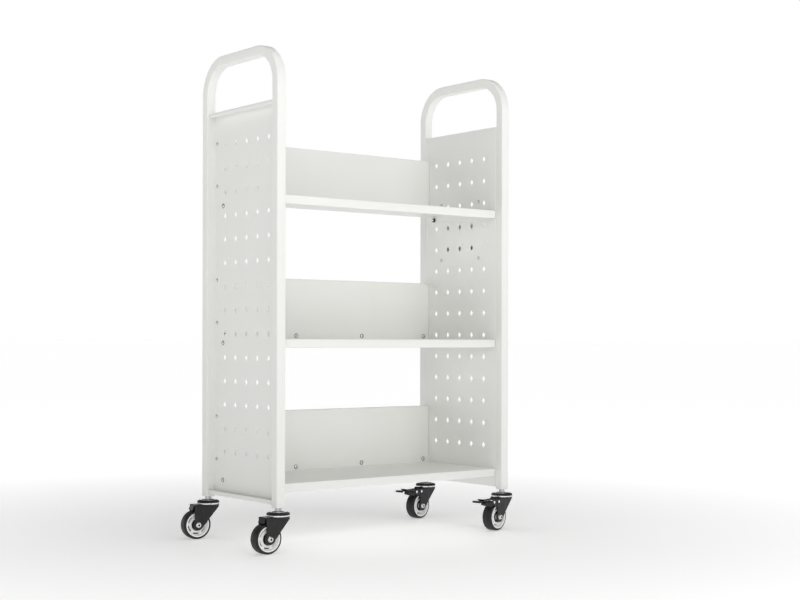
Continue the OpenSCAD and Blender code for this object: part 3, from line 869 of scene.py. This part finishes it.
def leg_outline(c):
    """Side view of a fork leg: straight edges running onto the round boss at the axle."""
    centre = Vector((-c.trail, c.wheel_r))

    def touch(point, side):
        arm = Vector(point) - centre
        return math.atan2(arm.y, arm.x) + side*math.acos(BOSS_R/arm.length)

    start, end = touch(LEG_BACK, 1), touch(LEG_FRONT, -1) + 2*math.pi
    arc = [centre + Vector((math.cos(a), math.sin(a)))*BOSS_R
           for a in (start + (end - start)*i/24 for i in range(25))]
    rear = EARS if c.braked else ((LEG_BACK[0], HEAD_TOP),)
    return [LEG_FRONT, (LEG_FRONT[0], HEAD_TOP), *rear, LEG_BACK, *arc]


def leg_face(x, z):
    """How far out a leg's outer face lies: a raised arch over the axle, set in towards the front."""
    arch = 1 - ((x - ARCH_X)/ARCH_HALF)**2
    crown = ARCH_FOOT + ARCH_RISE*math.sqrt(arch) if arch > 0 else 0
    raised = (1 - ease(x, -21, -18.9))*(1 - ease(z, crown - 0.6, crown + 0.6))
    y = FORK_OUT - RAISED + RAISED*raised - SET_IN*ease(x, -12, -2)
    over = min(max(z - (HEAD_TOP - HEAD_BEND), 0), HEAD_BEND)
    return y - HEAD_BEND + math.sqrt(HEAD_BEND**2 - over**2)


def cut_grid(form, axis, values):
    """Cuts a mesh along planes across an axis, so that it can be pressed to a shape."""
    normal = Vector((0, 0, 0))
    normal[axis] = 1
    for value in values:
        bmesh.ops.bisect_plane(form, geom=form.verts[:] + form.edges[:] + form.faces[:],
                               plane_co=normal*value, plane_no=normal)


def fork_legs(c):
    """Both legs, each a flat outline that is cut into a grid, thickened and pressed to its shape."""
    leg = bmesh.new()
    leg.faces.new([leg.verts.new((x, 0, z)) for x, z in leg_outline(c)])
    cut_grid(leg, 0, [-70.5 + 1.5*i for i in range(62)])
    cut_grid(leg, 2, [26 + 2*i for i in range(31)])
    cut_grid(leg, 2, [HEAD_TOP - HEAD_BEND + h for h in (0, 1, 1.8, 2.5, 3, 3.3)])
    out = bmesh.ops.extrude_face_region(leg, geom=leg.faces[:], use_keep_orig=True)["geom"]
    inner = {v for v in out if isinstance(v, bmesh.types.BMVert)}
    for v in leg.verts:
        y = leg_face(v.co.x, v.co.z)
        v.co.y = -(y - (FORK_OUT - FORK_IN) if v in inner else y)
    other = leg.copy()
    for v in other.verts:
        v.co.y = -v.co.y
    form = bmesh.new()
    for half in (leg, other):
        bmesh.ops.recalc_face_normals(half, faces=half.faces)
        mesh = bpy.data.meshes.new("half")
        half.to_mesh(mesh)
        half.free()
        form.from_mesh(mesh)
        bpy.data.meshes.remove(mesh)
    return form


def fork(c):
    """Pressed steel fork: two formed legs, a head with a round rim, and a skirt behind if unbraked."""
    form = fork_legs(c)
    lathe(form, ((STEM_BORE, HEAD_LOW), (HEAD_R - 3, HEAD_LOW - 0.6), (HEAD_R - 0.8, HEAD_LOW - 0.4),
                 (HEAD_R, HEAD_LOW + 0.4), (HEAD_R, HEAD_TOP - 0.5), (HEAD_R - 0.5, HEAD_TOP),
                 (STEM_BORE, HEAD_TOP)), FINER)
    half_w = FORK_OUT - 3.4
    section = ((-half_w, HEAD_LOW), (half_w, HEAD_LOW), (half_w, HEAD_TOP - 0.02),
               (-half_w, HEAD_TOP - 0.02))
    skin(form, [[(x, y, z) for y, z in section] for x in (-26 if c.braked else -44.4, -10)])
    if not c.braked:
        outside = rounded([(-38, HEAD_TOP - 0.04), (-44.6, HEAD_TOP - 0.04), (-50, HEAD_TOP - 14)],
                          2.5, 5)
        inside = rounded([(-47.6, HEAD_TOP - 14.8), (-43.2, HEAD_LOW), (-38, HEAD_LOW)], 1, 5)
        rings = [[(x, y, z) for x, z in outside + inside] for y in (-SKIRT_HALF, SKIRT_HALF)]
        for ring in skin(form, rings):
            form.faces.new(ring)
    piece = c.piece(form, "fork", "black_steel", c.fork_body, ["fork_" + c.corner])
    round_edges(piece, 0.5, 50)


def axle(c):
    """Socket-head axle bolt and its flanged nut, with a black disc in the socket as painted shade."""
    form, shade, hexes = bmesh.new(), bmesh.new(), bmesh.new()
    end = -(FORK_OUT + 6.5)
    rings = [circle(AXLE_R - 0.8, end, FINE), circle(AXLE_R, end + 0.8, FINE),
             circle(AXLE_R, FORK_OUT, FINE)]
    rings += [circle(r, FORK_OUT + h, FINE) for r, h in
              ((7.2, 0), (7.2, 0.7), (6.8, 1.3), (6.3, 1.5), (6.2, 3.2), (5.8, 4.1), (5.0, 4.6))]
    rings += [hexagon(SOCKET_FLATS, FORK_OUT + h, FINE) for h in (4.6, 2.4)]
    turned(form, rings, c.axle)
    # a black disc on the socket's floor: painted shade
    turned(shade, [hexagon(SOCKET_FLATS - 0.1, FORK_OUT + h) for h in (2.45, 2.8)], c.axle)
    far_side = Matrix.Translation((0, 0, -FORK_OUT)) @ Matrix.Rotation(math.pi, 4, "X")
    nut(hexes, c.axle @ far_side, flats=12, height=5.6, bore=AXLE_R + RUN, flange=7.2)
    c.piece(form, "axle", "bright_zinc", c.fork_body, ["axle_" + c.corner], SAME)
    c.piece(shade, "axle_socket_shade", "black_steel", c.fork_body, (), SAME)
    c.piece(hexes, "axle_nut", "bright_zinc", c.fork_body, ["axle_nut_" + c.corner], SAME)


HUB_END = 16.6         # how far the boss on the axle reaches from the wheel's middle
SLOT = (21.3, 24.7)    # inner and outer radius of the slots
HUB_SIDE = ((8.5, HUB_END), (8.5, 8.6), (8.9, 8), (14.4, 8), (15.2, 8.6), (15.8, 10.6), (16.4, 11),
            (18.6, 11), (19.2, 10.6), (19.9, 7.8), (20.6, 7), (SLOT[0], 7), (SLOT[1], 7), (25.6, 7),
            (26.5, 7.8), (27.6, 13.2), (28.3, 14.1), (29.2, 14.4), (RIM_R, 14.4))
SLOT_RING = HUB_SIDE.index((SLOT[0], 7))


def in_slot(segment):
    """Six slots, each 40 degrees long, spaced 60 degrees apart."""
    return 1 <= segment % 12 <= 8


def hub(c):
    """Moulded wheel centre: rolled rim, slotted web, raised ring, and the boss on the axle."""
    form = bmesh.new()
    sides = [[[form.verts.new(p) for p in circle(r, way*h, FINER)] for r, h in HUB_SIDE]
             for way in (1, -1)]
    bore = [[form.verts.new(p) for p in circle(AXLE_R + RUN, way*HUB_END, FINER)] for way in (1, -1)]
    for i in range(FINER):
        j = (i + 1) % FINER
        for rings, hole in zip(sides, bore):
            form.faces.new((hole[i], hole[j], rings[0][j], rings[0][i]))
            for k, (a, b) in enumerate(zip(rings, rings[1:])):
                if not (k == SLOT_RING and in_slot(i)):
                    form.faces.new((a[i], a[j], b[j], b[i]))
        walls = [bore, (sides[0][-1], sides[1][-1])]
        if in_slot(i):
            walls += [(sides[0][k], sides[1][k]) for k in (SLOT_RING, SLOT_RING + 1)]
        for a, b in walls:
            form.faces.new((a[i], a[j], b[j], b[i]))
        for end in (i, j):
            if in_slot(i) and not in_slot((i - 1 if end == i else i + 1) % FINER):
                form.faces.new([sides[0][SLOT_RING][end], sides[0][SLOT_RING + 1][end],
                                sides[1][SLOT_RING + 1][end], sides[1][SLOT_RING][end]])
    c.piece(form, "hub", "white_plastic", c.wheel_body, ["hub_" + c.corner], c.axle)


def hub_seals_and_slot_shade(c):
    """The black seals beside the boss, and a black ring deep in the slots as painted shade."""
    form = bmesh.new()
    seal = ((8.6, 8.02), (14.3, 8.02), (14.8, 9.2), (13.8, 10), (9.6, 10), (8.6, 9.4))
    for way in (1, -1):
        lathe(form, [(r, way*h) for r, h in seal], FINE, c.axle)
    # a black ring across the middle of the slots: painted shade deep in them
    low, high = SLOT[0] + 0.05, SLOT[1] - 0.05
    lathe(form, ((low, -0.5), (high, -0.5), (high, 0.5), (low, 0.5)), FINER, c.axle)
    c.piece(form, "hub_seals_and_slot_shade", "black_plastic", c.wheel_body, (), SAME)


def tyre(c):
    """Round-shouldered tyre with a faint mould line round its middle."""
    form = bmesh.new()
    inner, flat = c.wheel_r - SHOULDER, TYRE_HALF - SHOULDER
    side = [(RIM_R, 14.2), (RIM_R + 0.3, TYRE_HALF - 0.1), (inner, TYRE_HALF)]
    side += [(inner + SHOULDER*math.sin(a), flat + SHOULDER*math.cos(a))
             for a in (math.radians(15*i) for i in range(1, 6))]
    side += [(c.wheel_r - 0.04, flat - 0.4), (c.wheel_r - 0.04, 0.5), (c.wheel_r, 0.3)]
    lathe(form, side + [(r, -h) for r, h in reversed(side)], FINEST, c.axle)
    c.piece(form, "tyre", "tread", c.wheel_body, ["tyre_" + c.corner], SAME, 20)


# ---------- brake pedals; points are (x, height) beside the caster ----------

PEDAL_SHEET = 2.4
RELEASE_SHEET = 1.8
PIN = (-41, 80)        # the pedal's pivot
PIN_HOLE = 2.65        # radius of the holes in the pedal's arms
ARM_Y = 14.5           # middle of a pedal arm's thickness
BLADE_HALF = 13
TONGUE_HALF = 8
RELEASE_HALF = 10.5
RELEASE_RISE = 0.067   # how much the release plate climbs for each millimetre outwards
TIP = (-115.1, 83.6)   # middle of the blade's rolled tip
TIP_R = 1.7


def pressed(form, line, half_w, thickness):
    """A strip of pressed sheet along a line in the XZ plane, its long edges chamfered."""
    chamfer = thickness*0.28
    half = thickness/2
    outline = ((-half_w, chamfer - half), (-half_w, half - chamfer), (chamfer - half_w, half),
               (half_w - chamfer, half), (half_w, half - chamfer), (half_w, chamfer - half),
               (half_w - chamfer, -half), (chamfer - half_w, -half))
    rings = []
    for i, point in enumerate(line):
        along = (line[min(i + 1, len(line) - 1)] - line[max(i - 1, 0)]).normalized()
        up = Vector((-along.y, along.x))
        rings.append([(point.x + up.x*h, y, point.y + up.y*h) for y, h in outline])
    turned(form, rings)


def bent(*path):
    """A path of pressed sheet with its corners rounded."""
    return rounded(path, 2.5, 6)


def curl(centre, radius, start, end, steps=12):
    """Points round a rolled edge, its angles in degrees."""
    turns = [math.radians(start + (end - start)*i/steps) for i in range(steps + 1)]
    return [Vector((centre[0] + radius*math.cos(a), centre[1] + radius*math.sin(a))) for a in turns]


def pedal_arms(form):
    """Two arms with a hole for the pin; the hole has a point for each point of the outline."""
    pin = Vector(PIN)
    outline = [pin + Vector((4.4*math.cos(a), 3.9*math.sin(a)))
               for a in (math.radians(-120 + 20*i) for i in range(13))]
    outline += [Vector(point) for point in ((-48, 83.8), (-71.6, 83.4), (-72, 81), (-66.4, 75),
                                            (-64.2, 73.8), (-50, 75.7))]
    hole = [pin + (point - pin).normalized()*PIN_HOLE for point in outline]
    half = PEDAL_SHEET/2
    for way in (1, -1):
        skin(form, [[(x, way*ARM_Y + y, z) for x, z in line]
                    for line, y in ((outline, -half), (outline, half), (hole, half), (hole, -half))],
             loop=True)


def pedal(c):
    """Foot blade with a rolled tip, a hooked tongue under it, the shoe over the tyre, and its arms."""
    form = bmesh.new()
    blade = [Vector((-65.5, 82.3)), Vector((-72, 82.3)), *curl(TIP, TIP_R, 90, 370)]
    pressed(form, blade, BLADE_HALF, PEDAL_SHEET)
    pressed(form, bent((-74, 81.6), (-82.5, 81.6), (-85.5, 72.6), (-79.8, 72.6)), TONGUE_HALF,
            PEDAL_SHEET)
    pressed(form, bent((-70, 82), (-66.8, 81), (-65, 67.9)), ARM_Y, PEDAL_SHEET)
    pedal_arms(form)
    piece = c.piece(form, "brake_pedal", "black_steel", c.pedal_body, ["brake_pedal_" + c.corner],
                    look="black_gloss")
    round_edges(piece, 0.4, 50)


def release(c):
    """The shorter plate on the blade, turned up at its end, and its two rivets."""
    plate, rivets = bmesh.new(), bmesh.new()
    pressed(plate, bent((-66.5, 84.6), (-72.5, 84.7), (-92, 86), (-96.5, 88.8), (-99, 89.3)),
            RELEASE_HALF, RELEASE_SHEET)
    for x in (-74, -84):
        height = 85.5 - (x + 72)*RELEASE_RISE
        lathe(rivets, ((2.6, 0), (2.6, 0.2), (2.0, 0.9), (1.0, 1.2)), ROUND,
              Matrix.Translation((x, 0, height)), loop=False)
    piece = c.piece(plate, "brake_release", "black_steel", c.pedal_body,
                    ["brake_release_" + c.corner], look="black_gloss")
    round_edges(piece, 0.4, 50)
    c.piece(rivets, "brake_rivets", "black_steel", c.pedal_body, look="black_gloss")


# ---------- the whole cart ----------

def keep_cad_nodes():
    """Gives the CAD nodes that stay their finish, and softens their edges."""
    for name, piece in nodes.items():
        if piece.hide_render:
            continue
        dress(piece, slot_of(name))
        round_edges(piece, 0.35, 35)


camera()
studio()
floor()
for name in ("end_frame_left", "end_frame_right"):
    end_frame(name)
side_panel("side_panel_left", -1)
side_panel("side_panel_right", 1)
for level in ("bottom", "middle", "top"):
    shelf_tray("shelf_tray_" + level)
    back_plate("back_plate_" + level)
fasteners()
for corner in ("fl", "fr", "bl", "br"):
    caster = Caster(corner)
    for build in (stem, cover, race, fork, axle, hub, hub_seals_and_slot_shade, tyre):
        build(caster)
    if caster.braked:
        pedal(caster)
        release(caster)
keep_cad_nodes()
